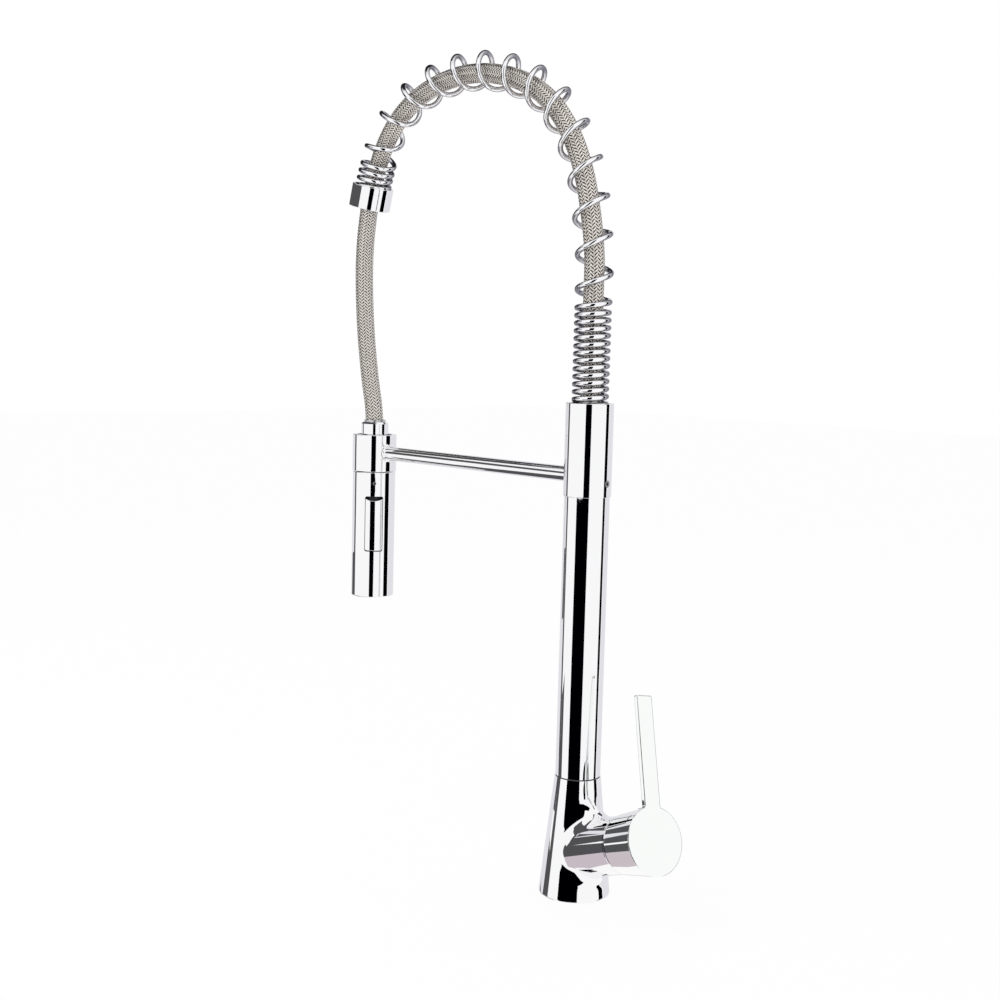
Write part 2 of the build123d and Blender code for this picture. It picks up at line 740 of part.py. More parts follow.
# The spring's wire: a straight leg, the coil in quarter turns, and a straight leg
knots = [coil_point(i) for i in range(0, step_count + 1, quarter)]
ways = []
for i in range(0, step_count + 1, quarter):
    ways.append((coil_point(i + 0.05) - coil_point(i - 0.05)).normalized())
coil_angle = 360 * step_count / steps_per_turn
last_angle = spring_first_angle + coil_angle + 2 * spring_leg_lead
leg_foot = round_route(-flange_height, spring_first_angle, 0)
leg_top = leg_foot + Vector(0, 0, spring_wire)
end_foot = round_route(collar_step, last_angle, coil_turns)
end_way = on_route(collar_step)[1]
end_leg = end_foot - end_way * spring_wire
wire_edges = [Edge.make_line(leg_foot, leg_top)]
wire_edges += biarc(leg_top, Vector(0, 0, 1), knots[0], ways[0])
for i in range(len(knots) - 1):
    wire_edges += biarc(knots[i], ways[i], knots[i + 1], ways[i + 1])
wire_edges += biarc(knots[-1], ways[-1], end_leg, end_way)
wire_edges.append(Edge.make_line(end_leg, end_foot))
wire_path = Wire(wire_edges)
wire_section = Plane(origin=leg_foot, z_dir=(0, 0, 1)) * Circle(spring_wire / 2)
parts["spring"] = sweep(wire_section, path=wire_path)

# Least gap of the wire to itself, on points a good part of a turn apart
samples = []
for edge in wire_edges:
    samples += [edge.position_at(k / 4) for k in range(4)]
per_turn = 8 * 4
least = 1e9
for i in range(len(samples)):
    for j in range(i + per_turn // 2, min(len(samples), i + 2 * per_turn)):
        least = min(least, (samples[i] - samples[j]).length)
print("spring turns", round(coil_turns, 1), "open pitch", round(open_pitch, 1),
      "least gap to itself", round(least - spring_wire, 2))

# The end collar holds the spring's end and guides the hose
end_place = Plane(origin=on_route(collar_step)[0], x_dir=(0, 1, 0), z_dir=end_way).location
web = end_collar_length - end_collar_recess
end_bush_inner = hose_radius + hose_play
end_bush_radius = end_bush_inner + end_bush_wall + snug
end_collar = rod(end_collar_radius, -end_collar_recess, web)
end_rims = end_collar.edges().filter_by(GeomType.CIRCLE)
end_collar = fillet(end_rims, end_collar_edge_round)
end_collar -= rod(end_collar_radius - end_collar_wall, -end_collar_recess - 1, 0)
end_collar -= rod(end_bush_radius, -1, web + 1)
parts["end_collar"] = end_place * end_collar
end_bush = ring(end_bush_radius - snug, end_bush_inner, 0, web - end_bush_inset)
parts["end_bush"] = end_place * end_bush


# The spray's nut holds the nipple's flange, and the head turns freely under it
core_flange_top = spray_top - spray_wall - core_flange
core_thread_top = spray_flange_low - soft_gap
nut_inner = spray_crimp_outer + soft_gap
nut_step = spray_flange_high + soft_gap
inlet_nut = rod(nut_radius, spray_top, nut_top)
nut_rim = inlet_nut.edges().filter_by(GeomType.CIRCLE).sort_by(Axis.Z)[-1]
inlet_nut = chamfer(nut_rim, nut_chamfer)
inlet_nut -= rod(spray_flange_radius + running, spray_top - 1, nut_step)
inlet_nut -= rod(nut_inner, nut_step - 1, nut_top + 1)
parts["inlet_nut"] = spray_place * inlet_nut

button_high = spray_top - button_below
button_low = button_high - button_length
button_slot_high = button_high + button_slot_head
button_outer = spray_radius + button_proud
button_inner = button_outer - button_thickness
button_pin_height = button_high - button_pin_drop
button_pin_forward = button_inner - button_pin_inside
plunger_height = button_low + plunger_rise
plunger_head_end = button_inner - plunger_inside
plunger_head_start = plunger_head_end - plunger_head_thickness
shell_screw_height = spray_top - shell_screw_below

shell_inner = spray_radius - spray_wall
shell_roof = core_flange_top
face_low = spray_low + face_recess
core_bottom = face_low + face_height
shell = rod(spray_radius, spray_low, spray_top)
shell_rims = shell.edges().filter_by(GeomType.CIRCLE)
shell = fillet(shell_rims, spray_edge_round)
shell -= rod(shell_inner, spray_low - 1, shell_roof)
shell -= rod(spray_flange_radius + running, shell_roof - 1, spray_top + 1)
slot = block(0, spray_radius + 1, button_width + 2 * button_gap, button_low - 2 * button_gap,
             button_slot_high)
slot_corners = slot.edges().filter_by(Axis.X)
slot = fillet(slot_corners, button_corner)
shell -= slot
shell_screw_hole = rod(shell_screw_radius + snug, 0, spray_radius + 1)
shell -= sideways(shell_screw_hole, 0, shell_screw_height)
parts["spray_shell"] = spray_place * shell

# The core is a brass body with lugs for the button's pin and a bore for the plunger
core = rod(shell_inner - snug, core_flange_top - core_head, core_flange_top)
core += rod(spray_flange_radius - snug, core_flange_top, core_thread_top)
core += rod(core_radius, core_bottom, core_flange_top)
core += rod(shell_inner - snug, core_bottom, core_bottom + core_foot)
lug_half = button_pin_radius + lug_wall
lug_low = button_pin_height - lug_half
lug_high = button_pin_height + lug_half
lug_across = (button_hub_width + play) / 2 + lug_thickness
lug_end = sqrt((button_inner - play) ** 2 - lug_across ** 2)
for side in (-1, 1):
    lug = block(core_radius - 2, lug_end, lug_thickness, lug_low, lug_high)
    core += Pos(0, side * (lug_across - lug_thickness / 2), 0) * lug
core -= rod(nipple_stem_radius + running, core_flange_top - core_head, core_thread_top + 1)
core -= rod(core_bore, core_bottom - 1, core_flange_top)
core -= sideways(rod(plunger_radius + running, 0, core_radius + 1), 0, plunger_height)
screw_root = spray_radius - shell_screw_sunk - shell_screw_length
core -= sideways(rod(shell_screw_radius + snug, screw_root, shell_inner + 1), 0,
                 shell_screw_height)
core -= Pos(button_pin_forward, 0, button_pin_height) * Rot(90, 0, 0) * Cylinder(
    button_pin_radius + snug, 4 * button_hub_width)
parts["spray_core"] = spray_place * core
shell_screw = sideways(grub_screw(shell_screw_radius, shell_screw_length), screw_root,
                       shell_screw_height)
parts["shell_screw"] = spray_place * shell_screw
valve_low = core_flange_top - core_head + 1.0
valve_high = nipple_stem_low - 1.0
check_valve = rod(nipple_stem_radius, valve_low, valve_high)
check_valve -= rod(check_valve_bore, valve_low - 1, valve_high - check_valve_end)
for turn in range(6):
    check_valve -= Rot(0, 0, 60 * turn) * Pos(3.4, 0, 0) * rod(0.7, valve_high - 4, valve_high + 1)
parts["check_valve"] = spray_place * check_valve

# Outlet: a face plate with an aerator in its middle and rubber nozzles round it
spray_face = rod(shell_inner - snug, face_low, core_bottom)
spray_face -= rod(aerator_radius + snug, face_low - 1, face_low + aerator_height)
spray_face -= rod(aerator_radius - aerator_lip, face_low, core_bottom + 1)
plate_outer = shell_inner - nozzle_plate_from_shell
plate_inner = aerator_radius + nozzle_plate_from_aerator
plate_low = core_bottom - nozzle_plate_height
nozzle_circle = (plate_outer + plate_inner) / 2
nozzle_plate = ring(plate_outer, plate_inner, plate_low, core_bottom)
spray_face -= ring(plate_outer + snug, plate_inner - snug, plate_low, core_bottom + 1)
for i in range(nozzle_count):
    place = Rot(0, 0, 360 * i / nozzle_count) * Pos(nozzle_circle, 0, 0)
    spray_face -= place * rod(nozzle_radius + snug, face_low - 1, core_bottom)
    nozzle_plate += place * rod(nozzle_radius, face_low - nozzle_proud, core_bottom - 1)
    nozzle_plate -= place * rod(nozzle_radius * 0.45, face_low - 2, core_bottom + 1)
parts["spray_face"] = spray_place * spray_face
parts["nozzle_ring"] = spray_place * nozzle_plate
aerator = rod(aerator_radius, face_low, face_low + aerator_height)
mesh_reach = aerator_radius - mesh_rim
mesh_rows = range(-floor(mesh_reach / mesh_pitch), floor(mesh_reach / mesh_pitch) + 1)
for i in mesh_rows:
    for j in mesh_rows:
        if (i * i + j * j) * mesh_pitch ** 2 < mesh_reach ** 2:
            hole = Box(mesh_hole, mesh_hole, 4 * aerator_height)
            aerator -= Pos(i * mesh_pitch, j * mesh_pitch, face_low) * hole
parts["aerator"] = spray_place * aerator

# The button is a curved plate in the shell's slot, with a hub on the pin
plate = block(0, button_outer + 1, button_width, button_low, button_high)
low_corners = plate.edges().filter_by(Axis.X).group_by(Axis.Z)[0]
plate = fillet(low_corners, button_corner)
scoop_radius = (button_width ** 2 / 4 + button_scoop ** 2) / (2 * button_scoop)
scoop_centre = button_high - button_scoop + scoop_radius
plate -= Pos(0, 0, scoop_centre) * Rot(0, 90, 0) * Cylinder(scoop_radius, 3 * button_outer)
plate &= ring(button_outer, button_inner, button_low - 1, button_high + 1)
outer_edges = plate.edges().filter_by(
    lambda e: all(Vector(v.X, v.Y).length > button_outer - 0.01 for v in e.vertices()))
plate = fillet(outer_edges, button_edge_round)
pad_end = (button_inner + button_outer) / 2
hub_half = button_pin_radius + button_hub_wall
hub = block(button_pin_forward - hub_half, pad_end, button_hub_width,
            button_pin_height - hub_half, button_pin_height + hub_half)
push_pad = rod(button_pad_radius, plunger_head_end + button_pad_gap, pad_end)
push_pad = sideways(push_pad, 0, plunger_height)
button = plate + hub + push_pad
button -= Pos(button_pin_forward, 0, button_pin_height) * Rot(90, 0, 0) * Cylinder(
    button_pin_radius + running, 2 * button_hub_width)
parts["button"] = spray_place * button
button_pin = Rot(90, 0, 0) * Cylinder(button_pin_radius, 2 * lug_across)
parts["button_pin"] = spray_place * Pos(button_pin_forward, 0, button_pin_height) * button_pin

plunger = rod(plunger_radius, plunger_tail, plunger_head_start)
plunger += rod(plunger_head_radius, plunger_head_start, plunger_head_end)
parts["valve_plunger"] = spray_place * sideways(plunger, 0, plunger_height)

# The valve's spring stands round the plunger, between the core and the plunger's head
spring_room = plunger_head_start - core_radius - valve_spring_wire
coil = Helix(pitch=spring_room / valve_spring_turns, height=spring_room,
             radius=valve_spring_radius)
coil_section = Plane(origin=coil @ 0, z_dir=coil % 0) * Circle(valve_spring_wire / 2)
valve_spring = sweep(coil_section, path=coil)
valve_spring = sideways(Pos(0, 0, core_radius + valve_spring_wire / 2) * valve_spring, 0,
                        plunger_height)
parts["valve_spring"] = spray_place * valve_spring

os.makedirs("parts", exist_ok=True)
for name, shape in parts.items():
    export_step(shape, f"parts/{name}.step")
print(len(parts), "nodes written")
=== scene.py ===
import math

import bpy
import numpy as np
from mathutils import Matrix, Vector


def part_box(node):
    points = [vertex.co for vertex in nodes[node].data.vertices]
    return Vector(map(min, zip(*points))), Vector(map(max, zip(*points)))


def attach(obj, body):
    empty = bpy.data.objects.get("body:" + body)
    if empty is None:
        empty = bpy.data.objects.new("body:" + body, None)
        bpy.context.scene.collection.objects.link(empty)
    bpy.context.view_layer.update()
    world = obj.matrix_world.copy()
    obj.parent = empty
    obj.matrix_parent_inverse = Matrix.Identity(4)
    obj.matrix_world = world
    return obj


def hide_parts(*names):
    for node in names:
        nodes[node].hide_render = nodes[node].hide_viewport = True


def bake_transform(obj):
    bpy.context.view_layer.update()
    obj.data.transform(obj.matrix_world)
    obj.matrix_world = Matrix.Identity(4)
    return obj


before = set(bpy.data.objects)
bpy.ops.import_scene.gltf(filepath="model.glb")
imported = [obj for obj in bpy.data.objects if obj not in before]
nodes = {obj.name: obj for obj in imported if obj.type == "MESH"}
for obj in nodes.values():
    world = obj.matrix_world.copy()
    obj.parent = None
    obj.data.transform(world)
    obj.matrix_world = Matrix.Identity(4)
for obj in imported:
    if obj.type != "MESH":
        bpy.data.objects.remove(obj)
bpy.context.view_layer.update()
scene = bpy.context.scene
scene.view_settings.view_transform = "Standard"


# Camera: stands about a metre from the column, a little higher than the middle of the
# arch, and looks slightly down, with the small roll that the picture has.
camera_azimuth = math.radians(-47.27)
camera_distance = 1.0055
camera_height = 0.3894
look_azimuth = math.radians(136.19)
look_down = math.radians(6.13)
roll = math.radians(1.53)
sensor = 36.0
frame_pixels = 1000
focal_pixels = 1443.4

lens = bpy.data.cameras.new("camera")
lens.sensor_width = sensor
lens.lens = focal_pixels / frame_pixels * sensor
camera = bpy.data.objects.new("camera", lens)
scene.collection.objects.link(camera)
scene.camera = camera
level = Vector((math.cos(look_azimuth), math.sin(look_azimuth), 0))
across = Vector((math.sin(look_azimuth), -math.cos(look_azimuth), 0))
forward = level * math.cos(look_down) - Vector((0, 0, 1)) * math.sin(look_down)
upward = Vector((0, 0, 1)) * math.cos(look_down) + level * math.sin(look_down)
rolled_across = across * math.cos(roll) + upward * math.sin(roll)
rolled_upward = upward * math.cos(roll) - across * math.sin(roll)
camera_turn = Matrix((rolled_across, rolled_upward, -forward)).transposed().to_4x4()
camera_place = Vector((camera_distance * math.cos(camera_azimuth),
                       camera_distance * math.sin(camera_azimuth), camera_height))
camera.matrix_world = Matrix.Translation(camera_place) @ camera_turn


# Hose: a rubber tube in a close braid of bright stainless wires. It stands in the
# column's head, follows the arch inside the spring and drops into the spray's nut.
tube_radius = 0.0066
braid_radius = 0.00698
strands_each_way = 16
braid_lay = 0.040
strand_width = 0.00155
strand_crown = 0.00030
strand_weave = 0.00022
hose_route = [
    (0, 0, 0.338), (0, 0, 0.425), (0, 0, 0.462), (-0.017, 0, 0.528), (-0.058, 0, 0.574),
    (-0.129, 0, 0.5925), (-0.197, 0, 0.579), (-0.237, 0, 0.541), (-0.255, 0, 0.474),
    (-0.253, 0, 0.410), (-0.2445, 0, 0.358), (-0.237, 0, 0.331), (-0.237, 0, 0.3033),
]
route_resolution = 48


def curve_points(name, points, resolution):
    """Points along the smooth line that has the given control points: Blender's own
    evaluation of a NURBS spline of order 3 that reaches both of its ends."""
    data = bpy.data.curves.new(name, "CURVE")
    data.dimensions = "3D"
    data.resolution_u = resolution
    spline = data.splines.new("NURBS")
    spline.points.add(len(points) - 1)
    for point, place in zip(spline.points, points):
        point.co = (*place, 1)
    spline.order_u = 3
    spline.use_endpoint_u = True
    holder = bpy.data.objects.new(name, data)
    scene.collection.objects.link(holder)
    bpy.context.view_layer.update()
    line = bpy.data.meshes.new_from_object(holder)
    found = np.empty(len(line.vertices) * 3)
    line.vertices.foreach_get("co", found)
    bpy.data.objects.remove(holder)
    bpy.data.curves.remove(data)
    bpy.data.meshes.remove(line)
    return found.reshape(-1, 3)


route = curve_points("hose route", hose_route, route_resolution)
route_far = np.concatenate([[0], np.cumsum(np.linalg.norm(np.diff(route, axis=0), axis=1))])
route_length = route_far[-1]
sideways = np.array([0.0, 1.0, 0.0])


def on_route(far):
    """Centre, direction and outward direction of the hose's line at distances along it.
    Past either end the line goes straight on. Outward is square to the line, in the
    plane of the arch and away from its middle."""
    step = 0.001
    held = np.clip(far, step, route_length - step)
    centre, ahead, behind = (
        np.stack([np.interp(held + shift, route_far, route[:, i]) for i in range(3)], axis=-1)
        for shift in (0, step, -step))
    way = ahead - behind
    way /= np.linalg.norm(way, axis=-1, keepdims=True)
    centre = centre + way * (far - held)[..., None]
    outward = np.stack([way[..., 2], np.zeros_like(held), -way[..., 0]], axis=-1)
    return centre, way, outward


def round_route(far, angle, radius):
    """Points round the hose's line: centre + radius (cos angle outward + sin angle Y)."""
    centre, _, outward = on_route(far)
    turned = np.cos(angle)[..., None] * outward + np.sin(angle)[..., None] * sideways
    return centre + np.asarray(radius)[..., None] * turned


def grid_faces(rows, columns, closed=False):
    """Four-sided faces over rows x columns points; a closed grid joins each row's ends."""
    strips = columns if closed else columns - 1
    row, column = np.meshgrid(np.arange(rows - 1), np.arange(strips), indexing="ij")
    after = (column + 1) % columns
    corners = [row * columns + column, row * columns + after,
               (row + 1) * columns + after, (row + 1) * columns + column]
    return np.stack(corners, axis=-1).reshape(-1, 4)


def add_piece(name, points, faces, finish, along=None):
    """One smooth mesh piece at the origin, from points and four-sided faces, with its
    material. along is a UV pair for each point."""
    mesh = bpy.data.meshes.new(name)
    mesh.vertices.add(len(points))
    mesh.vertices.foreach_set("co", points.astype(np.float32).ravel())
    mesh.loops.add(faces.size)
    mesh.loops.foreach_set("vertex_index", faces.astype(np.int32).ravel())
    mesh.polygons.add(len(faces))
    mesh.polygons.foreach_set("loop_start", np.arange(0, faces.size, 4, dtype=np.int32))
    mesh.polygons.foreach_set("use_smooth", np.ones(len(faces), bool))
    mesh.update(calc_edges=True)
    if along is not None:
        layer = mesh.uv_layers.new(name="along")
        layer.data.foreach_set("uv", along.astype(np.float32)[faces.ravel()].ravel())
    mesh.materials.append(finish)
    piece = bpy.data.objects.new(name, mesh)
    scene.collection.objects.link(piece)
    return piece


def add_node(tree, kind, x, y, **inputs):
    """A shader node at a place in the tree, with values on its named inputs."""
    node = tree.nodes.new(kind)
    node.location = (x, y)
    for name, value in inputs.items():
        node.inputs[name.replace("_", " ")].default_value = value
    return node


def math_node(tree, operation, x, y, first, second=None, third=None):
    """A Math node whose inputs are sockets or numbers; its result socket."""
    node = tree.nodes.new("ShaderNodeMath")
    node.operation = operation
    node.location = (x, y)
    for index, value in enumerate((first, second, third)):
        if isinstance(value, bpy.types.NodeSocket):
            tree.links.new(value, node.inputs[index])
        elif value is not None:
            node.inputs[index].default_value = value
    return node.outputs[0]


def blend_colors(tree, x, y, factor, first, second):
    """A Mix node between two colours by a factor socket; its result socket."""
    node = tree.nodes.new("ShaderNodeMix")
    node.data_type = "RGBA"
    node.location = (x, y)
    tree.links.new(factor, node.inputs["Factor"])
    for socket, color in zip((node.inputs[6], node.inputs[7]), (first, second)):
        if isinstance(color, bpy.types.NodeSocket):
            tree.links.new(color, socket)
        else:
            socket.default_value = (*color, 1)
    return node.outputs[2]


def material(name, color, metal=0.0, roughness=0.4):
    """A material with one principled shader; the material and that shader."""
    made = bpy.data.materials.new(name)
    made.use_nodes = True
    shader = made.node_tree.nodes["Principled BSDF"]
    shader.inputs["Base Color"].default_value = (*color, 1)
    shader.inputs["Metallic"].default_value = metal
    shader.inputs["Roughness"].default_value = roughness
    return made, shader


def wire_braid():
    """Stainless strands of seven fine wires side by side, with painted shade in the colour:
    dark near each strand's edges and where it dips under the next, bright on the crown.
    The UV map gives across the strand and the dip."""
    seen_from_afar = (0.80, 0.76, 0.69)
    crown_steel = (1.0, 0.95, 0.88)
    painted_gap_shade = (0.045, 0.028, 0.02)
    wires_in_strand = 7
    made, shader = material("braided wire", seen_from_afar, metal=1.0, roughness=0.2)
    tree = made.node_tree
    split = add_node(tree, "ShaderNodeSeparateXYZ", -900, 0)
    tree.links.new(add_node(tree, "ShaderNodeUVMap", -1100, 0).outputs["UV"], split.inputs[0])
    aside = math_node(tree, "ABSOLUTE", -700, 100, math_node(
        tree, "MULTIPLY_ADD", -800, 100, split.outputs["X"], 2.0, -1.0))
    # Painted shade: the strand's colour goes dark towards its edges and where it dips under the next
    # strand.
    edge = add_node(tree, "ShaderNodeMapRange", -500, 100, From_Min=0.55, From_Max=0.80)
    tree.links.new(aside, edge.inputs["Value"])
    dip = add_node(tree, "ShaderNodeMapRange", -500, -150, From_Min=0.46, From_Max=0.05)
    tree.links.new(split.outputs["Y"], dip.inputs["Value"])
    painted_shade_mask = math_node(tree, "MAXIMUM", -300, 0, edge.outputs["Result"], dip.outputs["Result"])
    tone = blend_colors(tree, -150, 100, painted_shade_mask, crown_steel, painted_gap_shade)
    tree.links.new(tone, shader.inputs["Base Color"])
    wires = math_node(tree, "ABSOLUTE", -500, -400, math_node(tree, "SINE", -600, -400, math_node(
        tree, "MULTIPLY", -700, -400, split.outputs["X"], wires_in_strand * math.pi)))
    bump = add_node(tree, "ShaderNodeBump", -250, -400, Strength=0.5, Distance=0.0001)
    tree.links.new(wires, bump.inputs["Height"])
    tree.links.new(bump.outputs["Normal"], shader.inputs["Normal"])
    return made


def hose_rubber():
    """Black rubber with the faint print of the braid's pressure."""
    made, shader = material("hose rubber", (0.02, 0.018, 0.016), roughness=0.6)
    tree = made.node_tree
    place = add_node(tree, "ShaderNodeTexCoord", -700, 0)
    mottle = add_node(tree, "ShaderNodeTexNoise", -500, 0, Scale=900.0, Detail=2.0)
    tree.links.new(place.outputs["Object"], mottle.inputs["Vector"])
    bump = add_node(tree, "ShaderNodeBump", -250, -100, Strength=0.3, Distance=0.0002)
    tree.links.new(mottle.outputs["Fac"], bump.inputs["Height"])
    tree.links.new(bump.outputs["Normal"], shader.inputs["Normal"])
    return made


def hose_tube():
    """The rubber tube: a circle of the tube's radius carried along the line, shut at its
    ends by a ring too small to see."""
    rings, sides = 600, 40
    shut_radius = 1e-5
    far, angle = np.meshgrid(np.linspace(0, route_length, rings),
                             np.linspace(0, 2 * np.pi, sides, endpoint=False), indexing="ij")
    radius = np.full(far.shape, tube_radius)
    radius[0] = radius[-1] = shut_radius
    far[1] = far[0]
    far[-2] = far[-1]
    points = round_route(far, angle, radius).reshape(-1, 3)
    faces = grid_faces(rings, sides, closed=True)
    return add_piece("hose_tube", points, faces, hose_rubber())


def braid_strands(hand, finish):
    """All strands that wind one way (hand 1 right, -1 left). Strand i has the angle
    2 pi i / n + hand 2 pi s / lay at distance s. Its crown is a low parabola, and it rides
    over two crossings and under two: the weave is a clipped cosine of the angle, opposite
    for the two hands."""
    strand_step = 0.00072
    weave_steepness = 1.5
    steps = int(route_length / strand_step)
    profile = np.linspace(-1, 1, 5)
    start = np.arange(strands_each_way) * 2 * np.pi / strands_each_way
    first, far, aside = np.meshgrid(start, np.linspace(0, route_length, steps), profile,
                                    indexing="ij")
    angle = first + hand * 2 * np.pi * far / braid_lay
    crossing = angle * 2 * strands_each_way / (2 * np.pi)
    weave = np.clip(weave_steepness * hand * np.cos(2 * np.pi * (crossing - 0.5) / 4), -1, 1)
    radius = braid_radius + strand_weave * weave - strand_crown * aside ** 2
    lean = math.atan(2 * np.pi * braid_radius / braid_lay)
    off = aside * strand_width / 2
    far = np.clip(far + off * math.sin(lean), 0, route_length)
    angle = angle - hand * off * math.cos(lean) / braid_radius
    points = round_route(far, angle, radius).reshape(-1, 3)
    ribbon = grid_faces(steps, len(profile))
    if hand < 0:
        ribbon = ribbon[:, ::-1]
    strand_start = np.arange(strands_each_way)[:, None, None] * steps * len(profile)
    faces = (strand_start + ribbon).reshape(-1, 4)
    along = np.stack([(aside + 1) / 2, (weave + 1) / 2], axis=-1).reshape(-1, 2)
    name = "hose_braid_right" if hand > 0 else "hose_braid_left"
    return add_piece(name, points, faces, finish, along)


braid_finish = wire_braid()
tube = hose_tube()
strands = [braid_strands(hand, braid_finish) for hand in (1, -1)]
for piece in (tube, *strands):
    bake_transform(piece)
    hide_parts("hose")


# Spring: one length of hard spring wire, chrome plated. Its closed coils stand in the
# collar, its open coils hold up the arch, and its last coils sit in the end collar.
wire = 0.0038
close_radius = 0.0112
open_radius = 0.0127
growth_turns = 6.0
hose_hang = 0.0018
hang_turn = 15.5
hang_turns = 2.0
lower_turns = 13.15
opening_turns = 1.9
open_turns = 12.0
closing_turns = 1.7
upper_turns = 3.1
lower_pitch = 0.00525
upper_pitch = 0.0056
pitch_growth = 0.16
first_angle = math.radians(15)
lead_angle = math.radians(60)
leg_rise = 0.006
collar_seat = 0.002
end_collar_recess = 0.0115
end_collar_length = 0.018
wire_sides = 20
steps_in_turn = 48
open_end = lower_turns + opening_turns + open_turns
all_turns = open_end + closing_turns + upper_turns


def eased(share):
    """3 s^2 - 2 s^3 of a share held between 0 and 1."""
    held = np.clip(share, 0, 1)
    return held * held * (3 - 2 * held)


def closing(turn):
    """1 until the coil begins to close at its upper end, and 0 where it has closed."""
    return (open_end + closing_turns - turn) / closing_turns


def coil_line():
    """Distance along the route, angle round it and turn, for points down the wire. The
    pitch is the close pitch mixed with the open one by a smooth step over the opening and
    closing turns; the open pitch grows evenly along the arch and is solved from the length."""
    turns = round(all_turns * 4) / 4
    collar_middle = np.mean(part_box("end_collar"), axis=0)
    middle_far = route_far[np.argmin(np.linalg.norm(route - collar_middle, axis=1))]
    last_far = middle_far - end_collar_length / 2 + end_collar_recess
    coil_start = wire - collar_seat + leg_rise
    coil_end = last_far - wire - leg_rise
    fine = 960
    turn = (np.arange(round(turns * fine)) + 0.5) / fine
    share = eased(np.minimum((turn - lower_turns) / opening_turns, closing(turn)))
    middle_turn = lower_turns + opening_turns + open_turns / 2
    close_pitch = np.where(turn < middle_turn, lower_pitch, upper_pitch)
    grown = (turn - lower_turns) / (all_turns - lower_turns) - 0.5
    weight = share * (1 + pitch_growth * grown)
    shut = close_pitch * (1 - share)
    open_pitch = (coil_end - coil_start - shut.sum() / fine) / (weight.sum() / fine)
    climbed = np.concatenate([[0], np.cumsum(shut + open_pitch * weight) / fine])
    marks = np.linspace(0, turns, int(turns * steps_in_turn))
    far = coil_start + np.interp(marks, np.arange(len(climbed)) / fine, climbed)
    angle = first_angle + lead_angle + 2 * np.pi * marks
    low_far, low_angle = wire_leg(wire - collar_seat, first_angle, far[0], angle[0],
                                  close_radius, lower_pitch / (2 * np.pi))
    high_far, high_angle = wire_leg(wire - last_far, -angle[-1] - lead_angle, -far[-1], -angle[-1],
                                    open_radius, upper_pitch / (2 * np.pi))
    far = np.concatenate([[-collar_seat], low_far[:-1], far, -high_far[-2::-1], [last_far]])
    angle = np.concatenate([[first_angle], low_angle[:-1], angle, -high_angle[-2::-1],
                            [angle[-1] + lead_angle]])
    marks = np.concatenate([np.zeros(len(low_far)), marks, np.full(len(high_far), turns)])
    return far, angle, marks


def wire_leg(leg_far, leg_angle, coil_far, coil_angle, radius, climb):
    """The wire's bend from a straight leg into the coil: a cubic Hermite curve in distance
    and angle that leaves along the leg and meets the coil at its climb for one radian."""
    leg_points = 14
    leg_pull = 1.15
    t = np.linspace(0, 1, leg_points)
    pull = leg_pull * math.hypot(coil_far - leg_far, (coil_angle - leg_angle) * radius)
    stride = math.hypot(radius, climb)
    arrive = 3 * t ** 2 - 2 * t ** 3
    leave = t ** 3 - 2 * t ** 2 + t
    meet = t ** 3 - t ** 2
    far = leg_far + (coil_far - leg_far) * arrive + pull * leave + pull * climb / stride * meet
    angle = leg_angle + (coil_angle - leg_angle) * arrive + pull / stride * meet
    return far, angle


def wire_tube(line, hint, radius, sides):
    """A round wire along a line: radius (cos a across + sin a side) about each point. The
    across direction is the hint made square to the line. Each end is shut by a last ring
    drawn in to a thousandth of the radius."""
    drawn_in = 1e-3
    way = np.gradient(line, axis=0)
    way /= np.linalg.norm(way, axis=1, keepdims=True)
    across_way = hint - way * (hint * way).sum(axis=1, keepdims=True)
    across_way /= np.linalg.norm(across_way, axis=1, keepdims=True)
    side_way = np.cross(way, across_way)
    turn = np.linspace(0, 2 * np.pi, sides, endpoint=False)[None, :, None]
    rings = np.cos(turn) * across_way[:, None] + np.sin(turn) * side_way[:, None]
    rings = line[:, None] + radius * rings
    shut_low = line[:1, None] + drawn_in * (rings[:1] - line[:1, None])
    shut_high = line[-1:, None] + drawn_in * (rings[-1:] - line[-1:, None])
    return np.concatenate([shut_low, rings, shut_high])


def group_socket(tree, name, direction, kind, value=None):
    """A named input or output of a node group."""
    socket = tree.interface.new_socket(name=name, in_out=direction, socket_type=kind)
    if value is not None:
        socket.default_value = value


def group_tree(name, inputs, outputs):
    """A node group with number or colour inputs and named outputs; its tree, its entry
    node and its exit node."""
    tree = bpy.data.node_groups.new(name, "ShaderNodeTree")
    for label, value in inputs.items():
        kind = "NodeSocketColor" if isinstance(value, tuple) else "NodeSocketFloat"
        group_socket(tree, label, "INPUT", kind, value)
    for label, kind in outputs.items():
        group_socket(tree, label, "OUTPUT", kind)
    entry = add_node(tree, "NodeGroupInput", -1000, 0)
    leave = add_node(tree, "NodeGroupOutput", 600, 0)
    return tree, entry, leave


